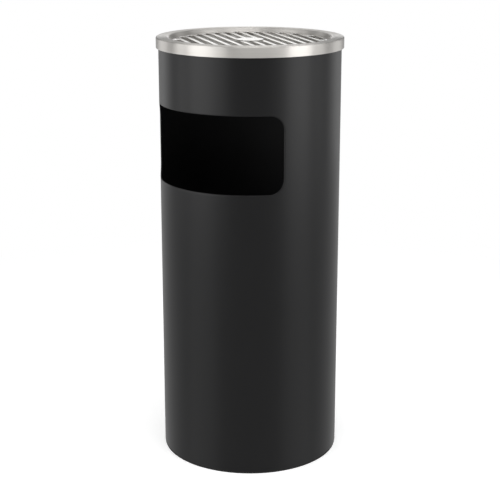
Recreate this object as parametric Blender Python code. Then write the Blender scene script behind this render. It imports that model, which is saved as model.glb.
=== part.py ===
"""Free-standing ashtray bin: a rolled steel tube with a side opening, a stainless ash tray
with a lift-out grate on top, and a galvanised pail inside. Metres, +Z up, opening towards -Y,
origin on the floor at the centre of the base."""

from math import cos, pi, radians, sin, tau

import bmesh
import bpy
import numpy as np
from mathutils import Matrix, Vector

# Overall size
HEIGHT = 0.590          # floor to the top of the tray's lip
SHELL_RADIUS = 0.125    # outside of the rolled shell
GAP = 0.0003            # air between pieces that touch
SEGMENTS = 60           # sides of every turned piece
SHEET = 0.0008          # stainless and galvanised sheet

# Shell and its opening
SHELL_SHEET = 0.0010
SHELL_BOTTOM = 0.0030
HEM = 0.0080            # depth of the folded-back edge at the top and round the opening
OPENING_BOTTOM = 0.3960
OPENING_TOP = 0.5000
OPENING_HALF_ANGLE = radians(56.4)
OPENING_CORNER = 0.0200
CUT_INNER = 0.1000      # radii between which the opening is cut
CUT_OUTER = 0.1500

# Base
PAN_TOP = 0.0150
PAN_DISH_RADIUS = 0.0900
PAN_DISH_DEPTH = 0.0020
PAN_FLANGE_BOTTOM = 0.0040
PAN_BEND = 0.0020
RING_INNER = 0.1170
RING_UPSTAND_INNER = 0.1190
RING_UPSTAND_TOP = 0.0100
RING_INSET = 0.0004     # the ring's lip stands back from the shell's face
RING_EDGE = 0.0006

# Ash tray
SKIRT_RADIUS = 0.1282
SKIRT_BOTTOM = 0.5755
LIP_EDGE = 0.0015       # radius of the fold between skirt and lip
LIP_INNER = 0.1120
LEDGE_OUTER = 0.1085
LEDGE_INNER = 0.1040
GRATE_TOP = 0.5848
GRATE_THICK = 0.0010
WELL_RADIUS = 0.1012
WELL_BOTTOM = 0.5450
WELL_CORNER = 0.0060

# Grate
GRATE_RADIUS = 0.1072
SLOT_PITCH = 0.0148
SLOT_WIDTH = 0.0092
SLOT_COUNT = 14
SLOT_REACH = 0.1033     # distance of a slot's end from the grate's centre
DISC_RADIUS = 0.0187    # plain disc on the middle bars, where cigarettes are put out
DISC_THICK = 0.0007
DISC_EDGE = 0.0003
BAR_ANGLE = radians(-38.3)   # direction of the bars, from +X

# Pail
PAIL_RADIUS = 0.1130
PAIL_BOTTOM = 0.0153
CURL_RADIUS = 0.00245   # middle of the sheet round the rim wire
CURL_HEIGHT = 0.3085
RIM_WIRE_RADIUS = 0.0016
FLOOR_HEIGHT = 0.0185
FLOOR_FLANGE = 0.0080
FLOOR_BEND = 0.0030

# Ears and bail
EAR_SHEET = 0.0012
EAR_HALF_ANGLE = radians(8)
EAR_BOTTOM = 0.2700
EAR_TOP = 0.3195
EAR_STEP_BOTTOM = 0.2900    # the ear steps outwards between these heights
EAR_STEP_TOP = 0.2985
RIVET_HEIGHT = 0.2800
RIVET_ANGLE = radians(4.6)
RIVET_RADIUS = 0.0017
RIVET_HEAD = 0.0034
RIVET_DOME = 0.0014
RIVET_TAIL = 0.0028
RIVET_TAIL_THICK = 0.0010
BAIL_WIRE = 0.0020
BAIL_RADIUS = 0.1150
BAIL_BEND = 0.0030
BAIL_END = 0.1215
DRILL_INNER = 0.1050    # radii between which the holes for rivets and bail are drilled
DRILL_OUTER = 0.1250


def clear_scene():
    for thing in list(bpy.data.objects):
        bpy.data.objects.remove(thing, do_unlink=True)


def finish(name, colour, roughness, metallic):
    material = bpy.data.materials.new(name)
    material.use_nodes = True
    shader = material.node_tree.nodes["Principled BSDF"]
    shader.inputs["Base Color"].default_value = (*colour, 1.0)
    shader.inputs["Roughness"].default_value = roughness
    shader.inputs["Metallic"].default_value = metallic
    return material


def make_object(name, points, faces, material):
    mesh = bpy.data.meshes.new(name)
    mesh.from_pydata([tuple(p) for p in points], [], faces)
    sheet = bmesh.new()
    sheet.from_mesh(mesh)
    bmesh.ops.recalc_face_normals(sheet, faces=sheet.faces)
    sheet.to_mesh(mesh)
    sheet.free()
    mesh.shade_smooth()
    mesh.set_sharp_from_angle(angle=radians(30))
    thing = bpy.data.objects.new(name, mesh)
    thing.data.materials.append(material)
    bpy.context.collection.objects.link(thing)
    return thing


def arc(centre, radius, start, end, steps):
    """Points on an arc in the (r, z) plane, angles in degrees from +r."""
    angles = np.radians(np.linspace(start, end, steps + 1))
    return [(centre[0] + radius * cos(a), centre[1] + radius * sin(a)) for a in angles]


def sheet_outline(path, thickness):
    """Closed outline of a sheet whose one face follows path; the other lies to its right."""
    points = np.array(path)
    runs = np.diff(points, axis=0)
    runs /= np.linalg.norm(runs, axis=1)[:, None]
    normals = np.column_stack([runs[:, 1], -runs[:, 0]])
    first, last = normals[:-1], normals[1:]
    mitres = (first + last) / (1 + (first * last).sum(axis=1))[:, None]
    offsets = np.vstack([normals[:1], mitres, normals[-1:]]) * thickness
    return path + [tuple(p) for p in (points + offsets)[::-1]]


def turned(name, outline, material, start=0.0, sweep=tau, steps=SEGMENTS):
    """Turns an outline of (r, z) points about Z, all the way round or over a sector."""
    full = sweep > tau - 1e-6
    columns = steps if full else steps + 1
    points, index = [], {}
    for column in range(columns):
        angle = start + sweep * column / steps
        for row, (r, z) in enumerate(outline):
            if r < 1e-9 and column > 0:
                index[column, row] = index[0, row]
                continue
            index[column, row] = len(points)
            points.append((max(r, 0.0) * cos(angle), max(r, 0.0) * sin(angle), z))
    faces = []
    for column in range(steps):
        other = (column + 1) % columns
        for row in range(len(outline)):
            below = (row + 1) % len(outline)
            corners = [index[column, row], index[column, below],
                       index[other, below], index[other, row]]
            corners = list(dict.fromkeys(corners))
            if len(corners) > 2:
                faces.append(corners)
    if not full:
        for column in (0, steps):
            faces.append([index[column, row] for row in range(len(outline))])
    return make_object(name, points, faces, material)


def cut(thing, tool, operation="DIFFERENCE"):
    """Applies a Boolean with the EXACT solver and removes the tool."""
    modifier = thing.modifiers.new("cut", "BOOLEAN")
    modifier.operation = operation
    modifier.solver = "EXACT"
    modifier.object = tool
    bpy.context.view_layer.update()
    graph = bpy.context.evaluated_depsgraph_get()
    result = bpy.data.meshes.new_from_object(thing.evaluated_get(graph))
    thing.modifiers.remove(modifier)
    thing.data = result
    bpy.data.objects.remove(tool, do_unlink=True)


def opening_tool(grow, material):
    """A curved block the shape of the opening, its edges moved out by grow."""
    corner = OPENING_CORNER + grow
    low, high = OPENING_BOTTOM - grow, OPENING_TOP + grow
    half = OPENING_HALF_ANGLE + grow / SHELL_RADIUS
    turn = np.radians(np.linspace(0, 90, 9))
    inset = corner * (1 - np.cos(turn)) / SHELL_RADIUS
    drop = corner * (1 - np.sin(turn))
    middle = np.linspace(-half + inset[-1], half - inset[-1], 21)[1:-1]
    angles = np.concatenate([-half + inset, middle, (half - inset)[::-1]])
    drops = np.concatenate([drop, np.zeros(len(middle)), drop[::-1]])
    points = []
    for angle, d in zip(angles, drops):
        x, y = sin(angle), -cos(angle)
        for radius, z in ((CUT_INNER, low + d), (CUT_OUTER, low + d),
                          (CUT_OUTER, high - d), (CUT_INNER, high - d)):
            points.append((radius * x, radius * y, z))
    faces = [[0, 1, 2, 3]]
    for column in range(len(angles) - 1):
        a, b = 4 * column, 4 * column + 4
        faces += [[a + k, a + (k + 1) % 4, b + (k + 1) % 4, b + k] for k in range(4)]
    faces.append([4 * (len(angles) - 1) + k for k in range(4)])
    return make_object("opening_tool", points, faces, material)


def rod_tool(radius, start, end, sides, material):
    """A round bar from start to end."""
    start, end = Vector(start), Vector(end)
    turn = (end - start).to_track_quat("Z", "Y").to_matrix().to_4x4()
    length = (end - start).length
    rod = turned("rod_tool", [(0, 0), (radius, 0), (radius, length), (0, length)], material, steps=sides)
    rod.data.transform(Matrix.Translation(start) @ turn)
    return rod


def wire(name, path, radius, sides, material, closed=False):
    """A round wire along a flat path at one height."""
    points = np.array(path)
    if closed:
        along = np.roll(points, -1, axis=0) - np.roll(points, 1, axis=0)
    else:
        along = np.gradient(points, axis=0)
    along /= np.linalg.norm(along, axis=1)[:, None]
    side = np.column_stack([along[:, 1], -along[:, 0], np.zeros(len(points))])
    angles = np.arange(sides) * tau / sides
    rings = (points[:, None] + radius * np.cos(angles)[None, :, None] * side[:, None]
             + radius * np.sin(angles)[None, :, None] * np.array([0, 0, 1.0]))
    faces = []
    count = len(points)
    for ring in range(count if closed else count - 1):
        other = (ring + 1) % count
        for k in range(sides):
            m = (k + 1) % sides
            faces.append([ring * sides + k, ring * sides + m, other * sides + m, other * sides + k])
    if not closed:
        faces.append(list(range(sides)))
        faces.append([(count - 1) * sides + k for k in range(sides)])
    return make_object(name, rings.reshape(-1, 3), faces, material)


def body_shell(paint):
    inner = SHELL_RADIUS - SHELL_SHEET
    folded = inner - SHELL_SHEET
    top = HEIGHT - SHEET - GAP
    outline = [(SHELL_RADIUS, SHELL_BOTTOM), (SHELL_RADIUS, top), (folded, top),
               (folded, top - HEM), (inner, top - HEM), (inner, SHELL_BOTTOM)]
    shell = turned("body_shell", outline, paint)
    bite = inner + SHELL_SHEET / 5
    low, high = OPENING_BOTTOM - 2 * HEM, OPENING_TOP + 2 * HEM
    band = turned("band", [(bite, low), (bite, high), (folded, high), (folded, low)], paint)
    cut(band, opening_tool(HEM, paint), "INTERSECT")
    cut(shell, band, "UNION")
    cut(shell, opening_tool(0.0, paint))
    return shell


def base_pan(paint):
    outer = SHELL_RADIUS - SHELL_SHEET - GAP
    dish = PAN_TOP - PAN_DISH_DEPTH
    path = [(0, dish), (PAN_DISH_RADIUS - PAN_DISH_DEPTH, dish), (PAN_DISH_RADIUS, PAN_TOP)]
    path += arc((outer - PAN_BEND, PAN_TOP - PAN_BEND), PAN_BEND, 90, 0, 2)
    path.append((outer, PAN_FLANGE_BOTTOM))
    return turned("base_pan", sheet_outline(path, SHELL_SHEET), paint)


def base_ring(rubber):
    lip_outer = SHELL_RADIUS - RING_INSET
    lip_top = SHELL_BOTTOM - GAP
    upstand_outer = SHELL_RADIUS - 2 * SHELL_SHEET - 3 * GAP
    outline = [(RING_INNER + RING_EDGE, 0), (lip_outer - RING_EDGE, 0),
               (lip_outer, RING_EDGE), (lip_outer, lip_top),
               (upstand_outer, lip_top), (upstand_outer, RING_UPSTAND_TOP),
               (RING_UPSTAND_INNER, RING_UPSTAND_TOP), (RING_UPSTAND_INNER, lip_top),
               (RING_INNER, lip_top), (RING_INNER, RING_EDGE)]
    return turned("base_ring", outline, rubber)


def ash_bowl(steel):
    ledge = GRATE_TOP - GRATE_THICK - GAP
    path = [(SKIRT_RADIUS, SKIRT_BOTTOM)]
    path += arc((SKIRT_RADIUS - LIP_EDGE, HEIGHT - LIP_EDGE), LIP_EDGE, 0, 90, 3)
    path += [(LIP_INNER, HEIGHT), (LEDGE_OUTER, ledge), (LEDGE_INNER, ledge)]
    path += arc((WELL_RADIUS - WELL_CORNER, WELL_BOTTOM + WELL_CORNER), WELL_CORNER, 0, -90, 4)
    path.append((0, WELL_BOTTOM))
    outline = sheet_outline(path[::-1], SHEET)
    return turned("ash_bowl", outline, steel)


def ash_grate(steel):
    low = GRATE_TOP - GRATE_THICK
    outline = [(0, low), (GRATE_RADIUS, low), (GRATE_RADIUS, GRATE_TOP), (0, GRATE_TOP)]
    plate = turned("ash_grate", outline, steel)
    half_width = SLOT_WIDTH / 2
    for slot in range(SLOT_COUNT):
        middle = (slot - (SLOT_COUNT - 1) / 2) * SLOT_PITCH
        reach = ((SLOT_REACH - half_width) ** 2 - middle ** 2) ** 0.5
        across = [(-reach, -half_width), (reach, -half_width)]
        across += arc((reach, 0), half_width, -60, 60, 4)
        across += [(reach, half_width), (-reach, half_width)]
        across += arc((-reach, 0), half_width, 120, 240, 4)
        levels = (low - GRATE_THICK, GRATE_TOP + GRATE_THICK)
        points = [(u, middle + v, z) for z in levels for u, v in across]
        count = len(across)
        faces = [list(range(count)), list(range(count, 2 * count))]
        faces += [[k, (k + 1) % count, count + (k + 1) % count, count + k] for k in range(count)]
        cut(plate, make_object("slot_tool", points, faces, steel))
    plate.data.transform(Matrix.Rotation(BAR_ANGLE, 4, "Z"))
    return plate


def stub_disc(steel):
    low, top = GRATE_TOP + GAP, GRATE_TOP + GAP + DISC_THICK
    outline = [(0, low), (DISC_RADIUS, low), (DISC_RADIUS, top - DISC_EDGE),
               (DISC_RADIUS - DISC_EDGE, top), (0, top)]
    return turned("stub_disc", outline, steel, steps=36)


def rivet_places():
    for side in (0, pi):
        for step in (-RIVET_ANGLE, RIVET_ANGLE):
            yield side + step


def drill(thing, angle, height, radius, sides, material):
    """A round hole through the wall, pointing at the axis."""
    out = Vector((cos(angle), sin(angle), 0))
    up = Vector((0, 0, height))
    cut(thing, rod_tool(radius + GAP, out * DRILL_INNER + up, out * DRILL_OUTER + up, sides, material))


def liner_wall(zinc):
    middle = PAIL_RADIUS - SHEET / 2
    centre = (middle + CURL_RADIUS, CURL_HEIGHT)
    outer = [(PAIL_RADIUS, PAIL_BOTTOM)]
    hook = arc(centre, CURL_RADIUS - SHEET / 2, 180, -60, 8)
    back = arc(centre, CURL_RADIUS + SHEET / 2, -60, 180, 8)
    outline = outer + hook + back + [(PAIL_RADIUS - SHEET, PAIL_BOTTOM)]
    wall = turned("liner_wall", outline, zinc)
    for angle in rivet_places():
        drill(wall, angle, RIVET_HEIGHT, RIVET_RADIUS, 12, zinc)
    return wall


def liner_base(zinc):
    outer = PAIL_RADIUS - SHEET - GAP
    path = [(0, FLOOR_HEIGHT)]
    path += arc((outer - FLOOR_BEND, FLOOR_HEIGHT + FLOOR_BEND), FLOOR_BEND, -90, 0, 2)
    path.append((outer, FLOOR_HEIGHT + FLOOR_FLANGE))
    return turned("liner_base", sheet_outline(path[::-1], SHEET), zinc)


def rim_wire(zinc):
    radius = PAIL_RADIUS - SHEET / 2 + CURL_RADIUS
    angles = np.arange(SEGMENTS) * tau / SEGMENTS
    path = [(radius * cos(a), radius * sin(a), CURL_HEIGHT) for a in angles]
    return wire("rim_wire", path, RIM_WIRE_RADIUS, 6, zinc, closed=True)


def bail_height():
    return CURL_HEIGHT + CURL_RADIUS + SHEET / 2 + GAP + BAIL_WIRE


def ear(name, side, zinc):
    """A plate riveted to the wall, stepped out past the curl, with the bail's eye at its top."""
    low = PAIL_RADIUS + GAP
    high = PAIL_RADIUS + 2 * CURL_RADIUS + GAP
    path = [(low, EAR_BOTTOM), (low, EAR_STEP_BOTTOM), (high, EAR_STEP_TOP), (high, EAR_TOP)]
    outline = sheet_outline(path, EAR_SHEET)
    plate = turned(name, outline, zinc, side - EAR_HALF_ANGLE, 2 * EAR_HALF_ANGLE, 8)
    drill(plate, side, bail_height(), BAIL_WIRE, 16, zinc)
    for step in (-RIVET_ANGLE, RIVET_ANGLE):
        drill(plate, side + step, RIVET_HEIGHT, RIVET_RADIUS, 12, zinc)
    return plate


def ear_rivet(number, angle, zinc):
    inside = PAIL_RADIUS - SHEET - GAP
    outside = PAIL_RADIUS + EAR_SHEET + 2 * GAP
    tail_end = inside - RIVET_TAIL_THICK
    outline = [(0, tail_end), (RIVET_TAIL, tail_end), (RIVET_TAIL, inside), (RIVET_RADIUS, inside),
               (RIVET_RADIUS, outside), (RIVET_HEAD, outside),
               (RIVET_HEAD * 0.8, outside + RIVET_DOME * 0.6), (0, outside + RIVET_DOME)]
    rivet = turned(f"ear_rivet_{number}", outline, zinc, steps=16)
    rivet.data.transform(Matrix.Rotation(pi / 2, 4, "Y"))
    rivet.data.transform(Matrix.Rotation(angle, 4, "Z"))
    rivet.data.transform(Matrix.Translation((0, 0, RIVET_HEIGHT)))
    return rivet


def bail(zinc):
    """Folded flat to the back, its ends turned out through the ears."""
    half = [(BAIL_END, 0.0)]
    half += arc((BAIL_RADIUS + BAIL_BEND, BAIL_BEND), BAIL_BEND, 270, 180, 5)
    hoop = arc((0, BAIL_BEND), BAIL_RADIUS, 0, 180, 36)[1:-1]
    path = half + hoop + [(-x, y) for x, y in reversed(half)]
    z = bail_height()
    return wire("bail", [(x, y, z) for x, y in path], BAIL_WIRE, 8, zinc)


def main():
    clear_scene()
    paint = finish("powder_coat", (0.028, 0.028, 0.029), 0.45, 0.0)
    steel = finish("stainless", (0.62, 0.61, 0.59), 0.28, 1.0)
    zinc = finish("galvanised", (0.55, 0.57, 0.58), 0.42, 1.0)
    rubber = finish("rubber", (0.012, 0.012, 0.012), 0.75, 0.0)
    body_shell(paint)
    base_pan(paint)
    base_ring(rubber)
    ash_bowl(steel)
    ash_grate(steel)
    stub_disc(steel)
    liner_wall(zinc)
    liner_base(zinc)
    rim_wire(zinc)
    ear("ear_right", 0.0, zinc)
    ear("ear_left", pi, zinc)
    for number, angle in enumerate(rivet_places(), start=1):
        ear_rivet(number, angle, zinc)
    bail(zinc)


main()
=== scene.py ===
from math import cos, pi, radians, sin

import bmesh
import bpy
import numpy as np
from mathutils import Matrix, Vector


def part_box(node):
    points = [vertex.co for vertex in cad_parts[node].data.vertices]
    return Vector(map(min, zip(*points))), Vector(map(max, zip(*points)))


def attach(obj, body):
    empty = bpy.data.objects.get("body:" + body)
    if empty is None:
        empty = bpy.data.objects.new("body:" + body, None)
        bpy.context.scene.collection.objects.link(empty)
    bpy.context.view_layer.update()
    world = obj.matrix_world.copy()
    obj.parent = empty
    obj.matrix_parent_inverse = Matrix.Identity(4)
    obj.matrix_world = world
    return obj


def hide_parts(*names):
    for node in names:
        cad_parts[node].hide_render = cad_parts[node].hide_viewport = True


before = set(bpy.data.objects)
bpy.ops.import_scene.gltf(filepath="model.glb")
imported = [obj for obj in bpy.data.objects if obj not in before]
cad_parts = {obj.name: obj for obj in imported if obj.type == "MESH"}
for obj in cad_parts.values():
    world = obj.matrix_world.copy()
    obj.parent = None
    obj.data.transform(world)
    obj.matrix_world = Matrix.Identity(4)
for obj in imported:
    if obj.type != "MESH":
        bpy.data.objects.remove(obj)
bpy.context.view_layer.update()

# Ashtray bin: black powder-coated tube with a side opening, brushed stainless ash tray and grate,
# galvanised pail inside. The opening faces -Y

mm = 0.001
shellLow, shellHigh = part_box("body_shell")
bowlLow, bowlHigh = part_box("ash_bowl")


# ---- shared mesh work

def gridFaces(rows, columns, wrapRows, wrapColumns):
    # Quad (i, j) joins point (i, j) to its neighbours one row and one column on
    i, j = np.meshgrid(np.arange(rows if wrapRows else rows - 1),
                       np.arange(columns if wrapColumns else columns - 1), indexing="ij")
    nextRow, nextColumn = (i + 1) % rows, (j + 1) % columns
    corners = [i * columns + j, nextRow * columns + j, nextRow * columns + nextColumn,
               i * columns + nextColumn]
    return np.stack(corners, -1).reshape(-1, 4)


def addPiece(name, parts, finish, body, nodes=(), sharp=35):
    # Joins the parts' points and quads into one mesh; doubled points at seams and poles are merged
    points = np.concatenate([p for p, f in parts])
    starts = np.cumsum([0] + [len(p) for p, f in parts[:-1]])
    faces = np.concatenate([f + s for (p, f), s in zip(parts, starts)])
    mesh = bpy.data.meshes.new(name)
    mesh.from_pydata(points.tolist(), [], faces.tolist())
    work = bmesh.new()
    work.from_mesh(mesh)
    bmesh.ops.remove_doubles(work, verts=work.verts, dist=1e-7)
    bmesh.ops.recalc_face_normals(work, faces=work.faces)
    work.to_mesh(mesh)
    work.free()
    mesh.shade_smooth()
    mesh.set_sharp_from_angle(angle=radians(sharp))
    piece = bpy.data.objects.new(name, mesh)
    bpy.context.collection.objects.link(piece)
    mesh.materials.append(finish)
    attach(piece, body)
    if nodes:
        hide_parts(*nodes)
    return piece


def inwardFaces(mesh, limit):
    # True for the faces nearer the axis than the limit whose normal points towards the axis or up
    middles, normals = np.zeros((2, len(mesh.polygons) * 3))
    mesh.polygons.foreach_get("center", middles)
    mesh.polygons.foreach_get("normal", normals)
    middles, normals = middles.reshape(-1, 3), normals.reshape(-1, 3)
    away = np.hypot(middles[:, 0], middles[:, 1])
    outwards = (middles[:, :2] * normals[:, :2]).sum(1) / np.maximum(away, 1e-6)
    return (away < limit) & (normals[:, 2] - outwards > 0.1)


def bentPath(corners, bends, steps=6, support=0.35 * mm):
    # A line through the corners, each one replaced by an arc of its own bend radius: the arc starts
    # and ends at bend / tan(half the corner's angle) from the corner. A point just outside each end
    # keeps the straight runs flat when they are smooth-shaded
    corners = np.array(corners, float)
    path = [corners[:1]]
    for before, corner, after, bend in zip(corners[:-2], corners[1:-1], corners[2:], bends):
        a, b = before - corner, after - corner
        a, b = a / np.linalg.norm(a), b / np.linalg.norm(b)
        half = np.arccos(np.clip(a @ b, -1, 1)) / 2
        reach = bend / np.tan(half)
        middle = (a + b) / np.linalg.norm(a + b)
        centre = corner + middle * bend / np.sin(half)
        first, last = corner + a * reach - centre, corner + b * reach - centre
        turn = np.arctan2(first[0] * last[1] - first[1] * last[0], first @ last)
        angles = np.linspace(0, turn, steps + 1)[:, None]
        ortho = np.array([-first[1], first[0]])
        arc = centre + first * np.cos(angles) + ortho * np.sin(angles)
        path += [(corner + a * (reach + support))[None], arc, (corner + b * (reach + support))[None]]
    path.append(corners[-1:])
    return np.concatenate(path)


def sheetLoop(path, thickness, roundStart=True, roundEnd=True):
    # Both faces of a sheet: the path moved half a thickness to each side along its own normal,
    # joined by half circles at the free ends
    runs = np.diff(path, axis=0)
    runs /= np.linalg.norm(runs, axis=1)[:, None]
    along = np.concatenate([runs[:1], runs[:-1] + runs[1:], runs[-1:]])
    along /= np.linalg.norm(along, axis=1)[:, None]
    normal = np.column_stack([-along[:, 1], along[:, 0]])
    half = thickness / 2
    turn = np.linspace(0, pi, 7)[1:-1, None]
    front, back = path + normal * half, path - normal * half
    if roundEnd:
        # The end circle's centre lies half a thickness back from the path's end
        front[-1] -= along[-1] * half
        back[-1] -= along[-1] * half
        endCircle = (path[-1] - along[-1] * half
                     + half * (normal[-1] * np.cos(turn) + along[-1] * np.sin(turn)))
    if roundStart:
        front[0] += along[0] * half
        back[0] += along[0] * half
        startCircle = (path[0] + along[0] * half
                       - half * (normal[0] * np.cos(turn) + along[0] * np.sin(turn)))
    return np.concatenate([front] + ([endCircle] if roundEnd else []) + [back[::-1]]
                          + ([startCircle] if roundStart else []))


def turned(loop, steps=256):
    # Point (angle, k) = (r_k cos angle, r_k sin angle, z_k) over a full turn
    angle = np.arange(steps)[:, None] * 2 * pi / steps
    r, z = np.maximum(loop[:, 0], 0)[None], loop[:, 1][None]
    points = np.stack([r * np.cos(angle), r * np.sin(angle), z + 0 * angle], -1).reshape(-1, 3)
    return points, gridFaces(steps, len(loop), True, True)


def roundedLoop(corners, edge, steps=4):
    # A closed outline whose every corner is an arc of radius edge; corners on the axis stay sharp
    corners = np.array(corners, float)
    out = []
    for k in range(len(corners)):
        corner = corners[k]
        if corner[0] < 1e-9:
            out.append(corner[None])
            continue
        three = [corners[k - 1], corner, corners[(k + 1) % len(corners)]]
        out.append(bentPath(three, [edge], steps, support=0.5 * edge)[1:-1])
    return np.concatenate(out)


def tube(path, radius, sides=20, closed=False):
    # A wire in a level plane: a circle of the given radius, cos t sideways and sin t upwards, at
    # every point of the path. The radius may change along the path
    along = (np.roll(path, -1, 0) - np.roll(path, 1, 0)) if closed else np.gradient(path, axis=0)
    along = along / np.linalg.norm(along, axis=1)[:, None]
    side = np.column_stack([along[:, 1], -along[:, 0], 0 * along[:, 0]])
    t = np.arange(sides) * 2 * pi / sides
    radius = np.broadcast_to(radius, len(path))[:, None, None]
    points = (path[:, None] + radius * (np.cos(t)[None, :, None] * side[:, None]
              + np.sin(t)[None, :, None] * np.array([0, 0, 1.0])))
    return points.reshape(-1, 3), gridFaces(len(path), sides, closed, True)


# ---- materials

def hexColour(code):
    # sRGB hex to linear: below 0.04045 a straight line, above it a power of 2.4
    values = np.array([int(code[k:k + 2], 16) / 255 for k in (1, 3, 5)])
    linear = np.where(values <= 0.04045, values / 12.92, ((values + 0.055) / 1.055) ** 2.4)
    return (*linear, 1.0)


def addNode(tree, kind, settings=None, links=None):
    # One node: settings are its own properties or, by input name or number, its socket values
    node = tree.nodes.new(kind)
    for key, value in (settings or {}).items():
        if isinstance(key, str) and hasattr(node, key):
            setattr(node, key, value)
        else:
            node.inputs[key].default_value = value
    for key, source in (links or {}).items():
        tree.links.new(source, node.inputs[key])
    return node


def newFinish(name, shaderValues):
    finish = bpy.data.materials.new(name)
    finish.use_nodes = True
    tree = finish.node_tree
    shader = tree.nodes["Principled BSDF"]
    for key, value in shaderValues.items():
        shader.inputs[key].default_value = value
    place = addNode(tree, "ShaderNodeTexCoord").outputs["Object"]
    return finish, tree, shader, place


def powderCoat(name, dark, light, lowRough, highRough, specular):
    # Polyester powder coat on steel, black, semi-matt: melted grains leave a fine orange peel
    # about 1 mm across, so lights come back as soft wide bands
    finish, tree, shader, place = newFinish(name, {"IOR": 1.5, "Specular IOR Level": specular})
    peel = addNode(tree, "ShaderNodeTexNoise", {"Scale": 1 / (1.3 * mm), "Detail": 2.0, "Roughness": 0.5},
                   {"Vector": place})
    bump = addNode(tree, "ShaderNodeBump", {"Strength": 0.10, "Distance": 0.15 * mm},
                   {"Height": peel.outputs[0]})
    tree.links.new(bump.outputs[0], shader.inputs["Normal"])
    cloud = addNode(tree, "ShaderNodeTexNoise", {"Scale": 1 / (60 * mm), "Detail": 3.0}, {"Vector": place})
    rough = addNode(tree, "ShaderNodeMapRange", {"To Min": lowRough, "To Max": highRough},
                    {"Value": cloud.outputs[0]})
    tree.links.new(rough.outputs[0], shader.inputs["Roughness"])
    tone = addNode(tree, "ShaderNodeMix", {"data_type": "RGBA", 6: hexColour(dark), 7: hexColour(light)},
                   {0: cloud.outputs[0]})
    tree.links.new(tone.outputs[2], shader.inputs["Base Color"])
    return finish


def ringBrushed(name, dark, light, metal):
    # Stainless sheet brushed while it spins: streaks run round the axis, so the pattern changes
    # fast with radius plus height and slowly round the ring. Real streaks are about 0.1 mm apart;
    # here they are about 1 mm, the finest that still shows
    finish, tree, shader, place = newFinish(name, {
        "Metallic": metal, "Anisotropic": 0.95, "Anisotropic Rotation": 0.25})
    split = addNode(tree, "ShaderNodeSeparateXYZ", None, {0: place})
    flat = addNode(tree, "ShaderNodeCombineXYZ", None, {0: split.outputs[0], 1: split.outputs[1]})
    radius = addNode(tree, "ShaderNodeVectorMath", {"operation": "LENGTH"}, {0: flat.outputs[0]})
    level = addNode(tree, "ShaderNodeMath", {"operation": "ADD"},
                    {0: radius.outputs["Value"], 1: split.outputs[2]})
    fast = addNode(tree, "ShaderNodeMath", {"operation": "MULTIPLY", 1: 1 / (1.0 * mm)},
                   {0: level.outputs[0]})
    slow = addNode(tree, "ShaderNodeVectorMath", {"operation": "SCALE", "Scale": 1 / (90 * mm)},
                   {0: flat.outputs[0]})
    slowSplit = addNode(tree, "ShaderNodeSeparateXYZ", None, {0: slow.outputs[0]})
    streakPlace = addNode(tree, "ShaderNodeCombineXYZ", None,
                          {0: slowSplit.outputs[0], 1: slowSplit.outputs[1], 2: fast.outputs[0]})
    streak = addNode(tree, "ShaderNodeTexNoise", {"Scale": 1.0, "Detail": 3.0, "Roughness": 0.6},
                     {"Vector": streakPlace.outputs[0]})
    rough = addNode(tree, "ShaderNodeMapRange", {"To Min": 0.38, "To Max": 0.52},
                    {"Value": streak.outputs[0]})
    tree.links.new(rough.outputs[0], shader.inputs["Roughness"])
    tone = addNode(tree, "ShaderNodeMix", {"data_type": "RGBA", 6: hexColour(dark), 7: hexColour(light)},
                   {0: streak.outputs[0]})
    tree.links.new(tone.outputs[2], shader.inputs["Base Color"])
    bump = addNode(tree, "ShaderNodeBump", {"Strength": 0.12, "Distance": 0.05 * mm},
                   {"Height": streak.outputs[0]})
    tree.links.new(bump.outputs[0], shader.inputs["Normal"])
    tangent = addNode(tree, "ShaderNodeTangent", {"direction_type": "RADIAL", "axis": "Z"})
    tree.links.new(tangent.outputs[0], shader.inputs["Tangent"])
    return finish


def plateBrushed(barAngle):
    # Stainless plate brushed in straight lines along its bars before it was punched: streaks are
    # about 80 mm long and just over 1 mm apart, coarser than real ones so that they show
    finish, tree, shader, place = newFinish("brushedStainlessPlate", {
        "Base Color": hexColour("#e0dedb"), "Metallic": 1.0})
    turn = addNode(tree, "ShaderNodeMapping", {"Rotation": (0, 0, -barAngle)}, {0: place})
    perMetreAlong, perMetreAcross = 12, 900
    stretch = addNode(tree, "ShaderNodeVectorMath", {
        "operation": "MULTIPLY", 1: (perMetreAlong, perMetreAcross, perMetreAlong)}, {0: turn.outputs[0]})
    streak = addNode(tree, "ShaderNodeTexNoise", {"Scale": 1.0, "Detail": 2.0},
                     {"Vector": stretch.outputs[0]})
    rough = addNode(tree, "ShaderNodeMapRange", {"To Min": 0.20, "To Max": 0.33},
                    {"Value": streak.outputs[0]})
    tree.links.new(rough.outputs[0], shader.inputs["Roughness"])
    bump = addNode(tree, "ShaderNodeBump", {"Strength": 0.05, "Distance": 0.05 * mm},
                   {"Height": streak.outputs[0]})
    tree.links.new(bump.outputs[0], shader.inputs["Normal"])
    return finish


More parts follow.
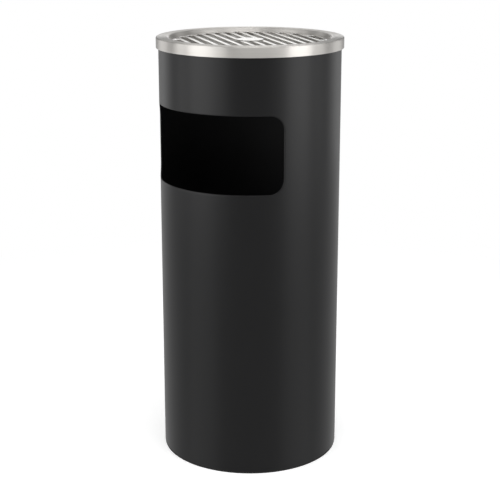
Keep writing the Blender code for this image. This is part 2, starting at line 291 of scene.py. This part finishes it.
def galvanised():
    # Hot-dip zinc on steel sheet: crystals (spangle) 5 to 12 mm across, each a slightly different grey
    finish, tree, shader, place = newFinish("hotDipZinc", {"Metallic": 1.0})
    wobble = addNode(tree, "ShaderNodeTexNoise", {"Scale": 1 / (9 * mm), "Detail": 2.0}, {"Vector": place})
    bent = addNode(tree, "ShaderNodeMix", {"data_type": "RGBA", "blend_type": "LINEAR_LIGHT", 0: 0.004},
                   {6: place, 7: wobble.outputs[1]})
    crystals = addNode(tree, "ShaderNodeTexVoronoi", {"Scale": 1 / (9 * mm)}, {"Vector": bent.outputs[2]})
    grey = addNode(tree, "ShaderNodeSeparateColor", None, {0: crystals.outputs["Color"]})
    tone = addNode(tree, "ShaderNodeMix", {"data_type": "RGBA", 6: hexColour("#949a9e"),
                                           7: hexColour("#b7bbbd")}, {0: grey.outputs[0]})
    tree.links.new(tone.outputs[2], shader.inputs["Base Color"])
    rough = addNode(tree, "ShaderNodeMapRange", {"To Min": 0.32, "To Max": 0.52},
                    {"Value": grey.outputs[1]})
    tree.links.new(rough.outputs[0], shader.inputs["Roughness"])
    grain = addNode(tree, "ShaderNodeTexNoise", {"Scale": 1 / (0.8 * mm), "Detail": 2.0},
                    {"Vector": place})
    bump = addNode(tree, "ShaderNodeBump", {"Strength": 0.08, "Distance": 0.1 * mm},
                   {"Height": grain.outputs[0]})
    tree.links.new(bump.outputs[0], shader.inputs["Normal"])
    return finish


def blackRubber():
    # Moulded rubber: matt, very dark, with a faint bloom
    finish, tree, shader, place = newFinish("mouldedRubber", {"Roughness": 0.8, "IOR": 1.5})
    bloom = addNode(tree, "ShaderNodeTexNoise", {"Scale": 1 / (8 * mm), "Detail": 4.0}, {"Vector": place})
    tone = addNode(tree, "ShaderNodeMix", {"data_type": "RGBA", 6: hexColour("#0b0b0b"),
                                           7: hexColour("#141414")}, {0: bloom.outputs[0]})
    tree.links.new(tone.outputs[2], shader.inputs["Base Color"])
    bump = addNode(tree, "ShaderNodeBump", {"Strength": 0.15, "Distance": 0.2 * mm},
                   {"Height": bloom.outputs[0]})
    tree.links.new(bump.outputs[0], shader.inputs["Normal"])
    return finish


# ---- shell

shell = {
    "radius": shellHigh.x, "bottom": shellLow.z, "top": shellHigh.z,
    "sheet": 1.0 * mm, "hem": 8.0 * mm, "cutEdge": 0.3 * mm,
    "openingLow": 396.0 * mm, "openingHigh": 500.0 * mm,
    "openingHalf": radians(56.4), "corner": 20.0 * mm,
    "across": 200, "upright": 44, "rows": 64,
}


def openingLine(away):
    # The opening's outline on the unrolled shell (s = radius times angle, z), moved away from the
    # opening's centre: straight sides and quarter circles whose centres stay where they are. Each
    # side starts and ends half way round a corner, so it faces one side of the whole sheet
    half = shell["radius"] * shell["openingHalf"]
    middle = (shell["openingLow"] + shell["openingHigh"]) / 2
    rise = (shell["openingHigh"] - shell["openingLow"]) / 2
    c = shell["corner"]
    bend = c + away

    def side(length, count):
        arc = 10
        t = np.linspace(-pi / 4, 0, arc + 1)
        first = np.column_stack([-length + c + bend * np.sin(t), -c + bend * np.cos(t)])
        run = np.linspace(-length + c, length - c, count - 2 * arc + 1)[1:-1]
        flat = np.column_stack([run, 0 * run + away])
        return np.concatenate([first, flat, (first * [-1, 1])[::-1]])[:-1]

    top = side(half, shell["across"]) + [0, rise]
    right = side(rise, shell["upright"])
    right = np.column_stack([half + right[:, 1], -right[:, 0]])
    line = np.concatenate([top, right])
    line = np.concatenate([line, -line])
    return line + [0, middle]


def sheetLine(low, high):
    # The unrolled sheet's own edge, point for point opposite openingLine
    half = shell["radius"] * pi
    a = np.linspace(-half, half, shell["across"] + 1)[:-1]
    b = np.linspace(high, low, shell["upright"] + 1)[:-1]
    top = np.column_stack([a, 0 * a + high])
    right = np.column_stack([0 * b + half, b])
    bottom = np.column_stack([-a, 0 * a + low])
    left = np.column_stack([0 * b - half, low + high - b])
    return np.concatenate([top, right, bottom, left])


def rolled(line, radius):
    # Unrolled (s, z) wound on a cylinder: the angle is s over the shell's radius, 0 facing -Y
    angle = line[..., 0] / shell["radius"]
    return np.stack([radius * np.sin(angle), -radius * np.cos(angle), line[..., 1]], -1)


def makeShell(finish, insideFinish):
    outer, sheet = shell["radius"], shell["sheet"]
    inner, folded = outer - sheet, outer - 2 * sheet
    hemLow = shell["top"] - shell["hem"]
    # Both faces: straight lines from the opening's edge to the sheet's edge, with the points closer
    # together near the opening
    share = np.linspace(0, 1, shell["rows"])
    share = (0.35 * share + 0.65 * share ** 1.6)[:, None, None]
    outside = openingLine(sheet) * (1 - share) + sheetLine(shell["bottom"], shell["top"] - sheet) * share
    inside = openingLine(shell["hem"]) * (1 - share) + sheetLine(shell["bottom"], hemLow) * share
    count = outside.shape[1]
    faces = gridFaces(len(share), count, False, True)
    parts = [(rolled(outside, outer).reshape(-1, 3), faces), (rolled(inside, inner).reshape(-1, 3), faces)]
    # The opening's edge is folded back: half a circle of one sheet's radius, then a flat hem inside
    fold = np.linspace(0, pi, 11)
    hem, cut = shell["hem"], shell["cutEdge"]
    away = np.concatenate([sheet * (1 - np.sin(fold)), [1.6 * sheet, hem - cut, hem, hem]])
    reach = np.concatenate([inner + sheet * np.cos(fold), [folded, folded, folded + cut, inner]])
    rows = [rolled(openingLine(a), r) for a, r in zip(away, reach)]
    parts.append((np.concatenate(rows), gridFaces(len(rows), count, False, True)))
    # The top edge is folded back the same way, the bottom edge is cut square
    angle = sheetLine(0, 1)[:shell["across"], 0][:, None] / outer
    topRadius = np.concatenate([inner + sheet * np.cos(fold), [folded, folded, inner]])
    topHeight = np.concatenate([shell["top"] - sheet + sheet * np.sin(fold),
                                [hemLow + sheet, hemLow, hemLow]])
    cutRadius, cutHeight = np.array([outer, inner]), np.full(2, shell["bottom"])
    for radius, height in ((topRadius, topHeight), (cutRadius, cutHeight)):
        ring = np.stack([radius * np.sin(angle), -radius * np.cos(angle), height + 0 * angle], -1)
        parts.append((ring.reshape(-1, 3), gridFaces(shell["across"], len(radius), True, False)))
    mesh = addPiece("shellTube", parts, finish, "bin", ["body_shell"], sharp=50).data
    # The faces inside the tube take the greyer copy of the coat, which paints light into the tube's shade
    mesh.materials.append(insideFinish)
    mesh.polygons.foreach_set("material_index", inwardFaces(mesh, outer - 0.6 * sheet).astype(np.int32))


# ---- foot

foot = {"ringInner": 117.0 * mm, "upstandInner": 119.0 * mm, "upstandOuter": 122.1 * mm,
        "upstandTop": 10.0 * mm, "lipTop": 2.7 * mm, "lipOuter": 124.6 * mm, "edge": 0.5 * mm}
pan = {"sheet": 1.0 * mm, "outer": 123.7 * mm, "top": 15.0 * mm, "dish": 2.0 * mm,
       "dishRadius": 90.0 * mm, "dishSlope": 4.0 * mm, "dishBend": 6.0 * mm, "edgeBend": 1.5 * mm,
       "flangeLow": 4.0 * mm}


def makeFoot(rubber, paint):
    f = foot
    ring = roundedLoop([(f["ringInner"], 0), (f["lipOuter"], 0), (f["lipOuter"], f["lipTop"]),
                        (f["upstandOuter"], f["lipTop"]), (f["upstandOuter"], f["upstandTop"]),
                        (f["upstandInner"], f["upstandTop"]), (f["upstandInner"], f["lipTop"]),
                        (f["ringInner"], f["lipTop"])], f["edge"])
    addPiece("baseRing", [turned(ring)], rubber, "bin", ["base_ring"])
    p = pan
    mid, half = p["top"] - p["sheet"] / 2, p["sheet"] / 2
    path = bentPath([(0, mid - p["dish"]), (p["dishRadius"] - p["dishSlope"], mid - p["dish"]),
                     (p["dishRadius"], mid), (p["outer"] - half, mid), (p["outer"] - half, p["flangeLow"])],
                    [p["dishBend"], p["dishBend"], p["edgeBend"]])
    addPiece("basePan", [turned(sheetLoop(path, p["sheet"], roundStart=False))], paint, "bin",
             ["base_pan"])


# ---- ash tray

# The bends are those of the rim, the lip, the ledge's two edges and the well's floor
tray = {"sheet": 0.8 * mm, "skirt": bowlHigh.x, "skirtLow": 575.5 * mm, "top": bowlHigh.z,
        "lipInner": 112.0 * mm, "ledgeOuter": 108.5 * mm, "ledgeInner": 104.0 * mm, "ledge": 583.5 * mm,
        "well": 101.2 * mm, "wellLow": bowlLow.z,
        "bends": [1.3 * mm, 3.0 * mm, 1.2 * mm, 1.2 * mm, 7.0 * mm]}


def makeTray(finish, wellFinish):
    t = tray
    half = t["sheet"] / 2
    corners = [(t["skirt"] - half, t["skirtLow"]), (t["skirt"] - half, t["top"] - half),
               (t["lipInner"], t["top"] - half), (t["ledgeOuter"], t["ledge"] - half),
               (t["ledgeInner"], t["ledge"] - half), (t["well"], t["wellLow"] + half),
               (0, t["wellLow"] + half)]
    loop = sheetLoop(bentPath(corners, t["bends"], steps=8), t["sheet"], roundEnd=False)
    mesh = addPiece("ashBowl", [turned(loop, 288)], finish, "tray", ["ash_bowl"]).data
    # The well's faces are the ones that lie inside the ledge and look up or inwards
    faces = inwardFaces(mesh, t["ledgeInner"] - 1 * mm)
    # The well's faces take the darker copy of the steel: painted shade
    mesh.materials.append(wellFinish)
    mesh.polygons.foreach_set("material_index", faces.astype(np.int32))


# ---- grate

grate = {"radius": 107.2 * mm, "low": 583.8 * mm, "thick": 1.0 * mm, "edge": 0.22 * mm,
         "pitch": 14.8 * mm, "slot": 9.2 * mm, "slots": 14, "reach": 103.3 * mm,
         "barAngle": radians(-38.3), "discRadius": 18.7 * mm, "discLow": 585.1 * mm,
         "discThick": 0.7 * mm, "discEdge": 0.3 * mm}


def makeGrate(finish):
    # A flat curve filled between its outline and its slots, with bevelled edges, made into a mesh
    g = grate
    outline = bpy.data.curves.new("grateOutline", "CURVE")
    outline.dimensions = "2D"
    outline.fill_mode = "BOTH"
    outline.extrude = g["thick"] / 2 - g["edge"]
    outline.bevel_depth = g["edge"]
    outline.bevel_resolution = 2
    outline.offset = -g["edge"]

    def addLine(xy):
        spline = outline.splines.new("POLY")
        spline.points.add(len(xy) - 1)
        spline.points.foreach_set("co", np.column_stack([xy, 0 * xy[:, 0], 1 + 0 * xy[:, 0]]).ravel())
        spline.use_cyclic_u = True

    t = np.arange(240) * 2 * pi / 240
    addLine(g["radius"] * np.column_stack([np.cos(t), np.sin(t)]))
    half = g["slot"] / 2
    for k in range(g["slots"]):
        # A slot: two straight sides and two half circles, its ends reaching the same circle
        middle = (k - (g["slots"] - 1) / 2) * g["pitch"]
        run = ((g["reach"] - half) ** 2 - middle ** 2) ** 0.5
        a = np.linspace(-pi / 2, pi / 2, 17)
        end = np.column_stack([run + half * np.cos(a), middle + half * np.sin(a)])
        start = np.column_stack([-run - half * np.cos(a), middle - half * np.sin(a)])
        addLine(np.concatenate([end, start]))
    holder = bpy.data.objects.new("grateHolder", outline)
    bpy.context.collection.objects.link(holder)
    bpy.context.view_layer.update()
    flat = bpy.data.meshes.new_from_object(holder.evaluated_get(bpy.context.evaluated_depsgraph_get()))
    bpy.data.objects.remove(holder, do_unlink=True)
    points = np.zeros(len(flat.vertices) * 3)
    flat.vertices.foreach_get("co", points)
    points = points.reshape(-1, 3)
    c, s = cos(g["barAngle"]), sin(g["barAngle"])
    placed = np.column_stack([c * points[:, 0] - s * points[:, 1], s * points[:, 0] + c * points[:, 1],
                              points[:, 2] + g["low"] + g["thick"] / 2])
    flat.vertices.foreach_set("co", placed.ravel())
    work = bmesh.new()
    work.from_mesh(flat)
    bmesh.ops.remove_doubles(work, verts=work.verts, dist=1e-6)
    bmesh.ops.recalc_face_normals(work, faces=work.faces)
    work.to_mesh(flat)
    work.free()
    flat.shade_smooth()
    flat.set_sharp_from_angle(angle=radians(20))
    piece = bpy.data.objects.new("ashGrate", flat)
    flat.materials.clear()
    flat.materials.append(finish)
    bpy.context.collection.objects.link(piece)
    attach(piece, "grate")
    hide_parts("ash_grate")
    low, high = g["discLow"], g["discLow"] + g["discThick"]
    disc = roundedLoop([(0, low), (g["discRadius"], low), (g["discRadius"], high), (0, high)],
                       g["discEdge"])
    addPiece("stubDisc", [turned(disc, 96)], finish, "grate", ["stub_disc"])


# ---- pail

pail = {"radius": 113.0 * mm, "low": 15.3 * mm, "sheet": 0.8 * mm, "curl": 2.45 * mm,
        "curlHeight": 308.5 * mm, "wire": 1.6 * mm, "floor": 18.5 * mm, "flange": 8.0 * mm,
        "floorBend": 2.6 * mm, "gap": 0.3 * mm, "ribs": (95 * mm, 225 * mm), "ribDepth": 0.9 * mm,
        "ribHalf": 5 * mm}
ears = {"sheet": 1.2 * mm, "half": radians(8), "low": 270.0 * mm, "high": 319.5 * mm,
        "step": (290.0 * mm, 298.5 * mm), "eyeGap": 0.3 * mm, "edge": 0.5 * mm, "cornerPower": 6.0}
rivets = {"height": 280.0 * mm, "angle": radians(4.6), "shank": 1.7 * mm, "head": 3.4 * mm,
          "dome": 1.2 * mm, "tail": 2.8 * mm, "tailThick": 1.0 * mm}
bail = {"wire": 2.0 * mm, "radius": 115.0 * mm, "bend": 3.0 * mm, "end": 121.5 * mm,
        "height": 313.65 * mm, "endRound": 0.8 * mm}


def makePail(zinc):
    p = pail
    half = p["sheet"] / 2
    middle = p["radius"] - half
    # Wall line: straight up with two shallow inward ribs, each one hump of a cosine wave
    z = np.linspace(p["low"], p["curlHeight"], 150)
    dent = sum(np.where(abs(z - rib) < p["ribHalf"], (1 + np.cos(pi * (z - rib) / p["ribHalf"])) / 2, 0)
               for rib in p["ribs"])
    wall = np.column_stack([middle - p["ribDepth"] * dent, z])
    # Rim: the sheet curls outwards round a wire through 240 degrees
    turn = np.radians(np.linspace(180, -60, 25))[1:]
    centre = np.array([middle + p["curl"], p["curlHeight"]])
    curl = centre + p["curl"] * np.column_stack([np.cos(turn), np.sin(turn)])
    loop = sheetLoop(np.concatenate([wall, curl]), p["sheet"])
    addPiece("pailWall", [turned(loop, 192)], zinc, "pail", ["liner_wall"])
    outer = p["radius"] - p["sheet"] - p["gap"] - half
    floor = bentPath([(0, p["floor"] - half), (outer, p["floor"] - half),
                      (outer, p["floor"] + p["flange"])], [p["floorBend"]])
    addPiece("pailFloor", [turned(sheetLoop(floor, p["sheet"], roundStart=False), 192)], zinc, "pail",
             ["liner_base"])
    t = np.arange(192) * 2 * pi / 192
    ring = np.column_stack([centre[0] * np.cos(t), centre[0] * np.sin(t), 0 * t + centre[1]])
    addPiece("rimWire", [tube(ring, p["wire"], 12, closed=True)], zinc, "pail", ["rim_wire"])


def makeEar(name, side, zinc, node):
    # A plate with an eye: straight lines run from the eye's circle to the plate's outline, down one
    # face, round the edge and back up the other. Its radius steps out between two heights along a
    # smooth S, three s squared less two s cubed, which clears the pail's curl
    e = ears
    low = pail["radius"] + pail["gap"]
    high = low + 2 * pail["curl"]
    across = (low + high) / 2
    width, tall = e["half"] * across, (e["high"] - e["low"]) / 2
    t = np.arange(120) * 2 * pi / 120
    eye = np.column_stack([np.sin(t), np.cos(t)]) * (bail["wire"] + e["eyeGap"])
    # The outline is a box with rounded corners: each direction is stretched until
    # |x| to a power plus |z| to the same power is one
    power = e["cornerPower"]
    stretch = (abs(np.sin(t)) ** power + abs(np.cos(t)) ** power) ** (-1 / power)
    middle = (e["low"] + e["high"]) / 2 - bail["height"]
    edge = np.column_stack([np.sin(t) * stretch * width, np.cos(t) * stretch * tall + middle])
    half = e["sheet"] / 2
    turn = np.linspace(0, pi, 7)[1:-1]
    share = np.linspace(0, 1, 70)
    rim = 1 - e["edge"] / tall
    outward = np.concatenate([share * rim, rim + (1 - rim) * np.sin(turn), share[::-1] * rim])
    offset = np.concatenate([0 * share - half, -half * np.cos(turn), 0 * share + half])
    flat = eye * (1 - outward[:, None, None]) + edge * outward[:, None, None]
    height = flat[..., 1] + bail["height"]
    s = np.clip((height - e["step"][0]) / (e["step"][1] - e["step"][0]), 0, 1)
    radius = low + half + (high - low) * s * s * (3 - 2 * s) + offset[:, None]
    angle = side + flat[..., 0] / across
    points = np.stack([radius * np.cos(angle), radius * np.sin(angle), height], -1).reshape(-1, 3)
    addPiece(name, [(points, gridFaces(len(outward), len(t), True, True))], zinc, "pail",
             [node])


def makeRivet(number, angle, zinc):
    # Turned about its own axis and then laid along the pail's radius: domed head outside, tail inside
    v = rivets
    inside = pail["radius"] - pail["sheet"] - pail["gap"]
    outside = pail["radius"] + 2 * pail["gap"] + ears["sheet"]
    chamfer = v["tailThick"] / 2
    dome = np.linspace(0, pi / 2, 9)
    head = np.column_stack([v["head"] * np.cos(dome), outside + 0.2 * mm + v["dome"] * np.sin(dome)])
    stem = [(0, inside - v["tailThick"]), (v["tail"] - 0.6 * mm, inside - v["tailThick"]),
            (v["tail"], inside - chamfer), (v["tail"], inside), (v["shank"], inside), (v["shank"], outside),
            (v["head"], outside)]
    points, faces = turned(np.concatenate([stem, head]), 32)
    x, y, z = points.T
    placed = np.column_stack([z * cos(angle) - y * sin(angle), z * sin(angle) + y * cos(angle),
                              v["height"] - x])
    addPiece("earRivet%d" % number, [(placed, faces)], zinc, "pail",
             ["ear_rivet_%d" % number])


def makeBail(zinc):
    # Half: straight stub through the ear, quarter bend, then half a circle to the other side
    b = bail
    turn = np.linspace(0, pi / 2, 12)
    bend = np.column_stack([b["radius"] + b["bend"] * (1 - np.sin(turn)), b["bend"] * (1 - np.cos(turn))])
    stub = np.column_stack([np.linspace(b["end"], b["radius"] + b["bend"], 10)[:-1], np.zeros(9)])
    half = np.concatenate([stub, bend])
    sweep = np.linspace(0, pi, 121)[1:-1]
    arc = np.column_stack([b["radius"] * np.cos(sweep), b["bend"] + b["radius"] * np.sin(sweep)])
    flat = np.concatenate([half, arc, (half * [-1, 1])[::-1]])
    path = np.column_stack([flat, 0 * flat[:, 0] + b["height"]])
    run = np.linalg.norm(np.diff(path, axis=0), axis=1)
    gone = np.concatenate([[0], np.cumsum(run)])
    # The ends are rounded: over the last stretch the radius follows a quarter ellipse
    end = np.clip(np.minimum(gone, gone[-1] - gone) / b["endRound"], 0, 1)
    radius = b["wire"] * (0.6 + 0.4 * np.sqrt(1 - (1 - end) ** 2))
    sides = 20
    points, faces = tube(path, radius, sides)
    caps = []
    for ring, centre in ((points[:sides], path[0]), (points[-sides:], path[-1])):
        caps.append((np.concatenate([ring, centre + 0 * ring]), gridFaces(2, sides, False, True)))
    addPiece("bailWire", [(points, faces)] + caps, zinc, "handle", ["bail"])


# ---- stage

stageSet = {"cameraAround": radians(35.43), "cameraAway": 1707.4 * mm, "cameraHigh": 772.9 * mm,
            "cameraDown": radians(14.963), "lens": 89.75, "shift": -0.0402,
            "floorHalf": 30.0, "floorFade": (0.35, 1.1)}


def around(angle, distance, height):
    return (distance * sin(angle), -distance * cos(angle), height)


# Each softbox: angle from the camera in degrees, distance and height of its middle, its width and
# height and the height it faces in metres, and its power in watts. Two tall walls of light stand
# left and right with dimmer wings, a low box under each wall shines up through the floor onto the
# foot, three stand behind and one hangs above
softboxes = [(-61, 1.7, 0.75, 1.0, 1.3, 0.75, 10.2), (-90, 1.7, 0.75, 0.5, 1.3, 0.75, 2.8),
             (-36, 1.7, 0.75, 0.5, 1.3, 0.75, 2.9), (-62, 1.7, -0.45, 1.2, 1.1, 0.4, 1.8),
             (61, 1.7, 0.75, 1.0, 1.3, 0.75, 11.2), (90, 1.7, 0.75, 0.5, 1.3, 0.75, 2.0),
             (36, 1.7, 0.75, 0.5, 1.3, 0.75, 0.9), (62, 1.7, -0.45, 1.2, 1.1, 0.4, 1.8),
             (180, 1.7, 0.75, 0.5, 1.3, 0.75, 2.2), (-128, 1.7, 0.75, 0.8, 1.3, 0.75, 2.1),
             (128, 1.7, 0.75, 0.8, 1.3, 0.75, 1.8), (12, 1.2, 2.2, 1.6, 1.2, 0.4, 13.0)]


def addSoftbox(name, angle, distance, height, width, tall, aim, power):
    light = bpy.data.lights.new(name, "AREA")
    light.shape = "RECTANGLE"
    light.size, light.size_y, light.energy = width, tall, power
    holder = bpy.data.objects.new(name, light)
    bpy.context.collection.objects.link(holder)
    place = np.array(around(stageSet["cameraAround"] + radians(angle), distance, height))
    back = place - [0, 0, aim]
    holder.location = place
    holder.rotation_euler = (np.arctan2(np.hypot(back[0], back[1]), back[2]), 0,
                             np.arctan2(back[1], back[0]) + pi / 2)
    holder.visible_camera = False


def makeStage():
    s = stageSet
    lens = bpy.data.cameras.new("camera")
    lens.lens, lens.sensor_width, lens.shift_y = s["lens"], 36.0, s["shift"]
    lens.clip_start, lens.clip_end = 0.05, 50
    camera = bpy.data.objects.new("camera", lens)
    bpy.context.collection.objects.link(camera)
    camera.location = around(s["cameraAround"], s["cameraAway"], s["cameraHigh"])
    camera.rotation_euler = (pi / 2 - s["cameraDown"], 0, s["cameraAround"])
    bpy.context.scene.camera = camera

    floorMesh = bpy.data.meshes.new("floor")
    f = s["floorHalf"]
    floorMesh.from_pydata([(-f, -f, 0), (f, -f, 0), (f, f, 0), (-f, f, 0)], [], [(0, 1, 2, 3)])
    floor = bpy.data.objects.new("floor", floorMesh)
    bpy.context.collection.objects.link(floor)
    floor.visible_glossy = False    # the world's lower half stands for the floor in reflections
    floor.visible_shadow = False    # lets the low softboxes shine through
    # Pale floor: near the bin the softboxes light it and it glows a little itself, and further out
    # it is as white as the backdrop
    pale = bpy.data.materials.new("paleFloor")
    pale.use_nodes = True
    tree = pale.node_tree
    near = tree.nodes["Principled BSDF"]
    white = (1, 1, 1, 1)
    for key, value in {"Base Color": (0.92, 0.92, 0.92, 1), "Roughness": 0.9, "Specular IOR Level": 0.0,
                       "Emission Color": white, "Emission Strength": 0.38}.items():
        near.inputs[key].default_value = value
    place = addNode(tree, "ShaderNodeTexCoord").outputs["Object"]
    radius = addNode(tree, "ShaderNodeVectorMath", {"operation": "LENGTH"}, {0: place})
    fade = addNode(tree, "ShaderNodeMapRange", {
        "interpolation_type": "SMOOTHSTEP", "From Min": s["floorFade"][0], "From Max": s["floorFade"][1]},
        {"Value": radius.outputs["Value"]})
    far = addNode(tree, "ShaderNodeEmission", {"Color": white, "Strength": 1.0})
    mix = addNode(tree, "ShaderNodeMixShader", None,
                  {0: fade.outputs[0], 1: near.outputs[0], 2: far.outputs[0]})
    tree.links.new(mix.outputs[0], tree.nodes["Material Output"].inputs[0])
    floorMesh.materials.append(pale)

    for number, box in enumerate(softboxes):
        addSoftbox("softbox%d" % number, *box)

    world = bpy.data.worlds.new("studio")
    bpy.context.scene.world = world
    world.use_nodes = True
    tree = world.node_tree
    tree.nodes.clear()
    # Light bounced up from the pale floor is brighter than the room above, and the ceiling glows
    # straight above. The camera itself sees a white backdrop
    look = addNode(tree, "ShaderNodeTexCoord").outputs["Generated"]
    rise = addNode(tree, "ShaderNodeSeparateXYZ", None, {0: look}).outputs[2]
    fall = addNode(tree, "ShaderNodeMapRange", {
        "interpolation_type": "SMOOTHSTEP", "From Min": -0.25, "From Max": 0.25, "To Min": 0.64,
        "To Max": 0.21}, {"Value": rise})
    crown = addNode(tree, "ShaderNodeMapRange", {
        "interpolation_type": "SMOOTHSTEP", "From Min": 0.3, "From Max": 0.85, "To Min": 0.0,
        "To Max": 0.42}, {"Value": rise})
    total = addNode(tree, "ShaderNodeMath", {"operation": "ADD"}, {0: fall.outputs[0], 1: crown.outputs[0]})
    lit = addNode(tree, "ShaderNodeBackground", {"Color": white}, {"Strength": total.outputs[0]})
    seen = addNode(tree, "ShaderNodeBackground", {"Color": white, "Strength": 1.0})
    ray = addNode(tree, "ShaderNodeLightPath")
    mix = addNode(tree, "ShaderNodeMixShader", None,
                  {0: ray.outputs["Is Camera Ray"], 1: lit.outputs[0], 2: seen.outputs[0]})
    addNode(tree, "ShaderNodeOutputWorld", None, {0: mix.outputs[0]})
    bpy.context.scene.view_settings.view_transform = "Standard"


paint = powderCoat("powderCoatBlack", "#0a0a0b", "#0d0d0e", 0.30, 0.36, 0.26)
# Inside the tube: a greyer, duller copy of the black coat, painted light that brightens the tube's shaded
# inside faces
thinPaint = powderCoat("powderCoatInsidePaintedLight", "#202021", "#262627", 0.60, 0.70, 0.12)
rubber, zinc = blackRubber(), galvanised()
roundSteel = ringBrushed("brushedStainlessRound", "#cecbc6", "#dedbd7", 1.0)
# The well has the same streaks on a darker, less metallic copy of the steel, which scatters some of the
# light that falls in; its darker colours are painted shade for the well's depth
wellSteel = ringBrushed("brushedStainlessWellPaintedShade", "#c4c2be", "#d2d0cc", 0.8)
plateSteel = plateBrushed(grate["barAngle"])
print("finishes: done")
makeShell(paint, thinPaint)
print("shell: done")
makeFoot(rubber, paint)
makeTray(roundSteel, wellSteel)
makeGrate(plateSteel)
print("tray and grate: done")
makePail(zinc)
makeEar("earRight", 0.0, zinc, "ear_right")
makeEar("earLeft", pi, zinc, "ear_left")
rivetAngles = [side + turn for side in (0, pi) for turn in (-rivets["angle"], rivets["angle"])]
for number, angle in enumerate(rivetAngles, 1):
    makeRivet(number, angle, zinc)
makeBail(zinc)
print("pail and bail: done")
makeStage()
print("stage: done")
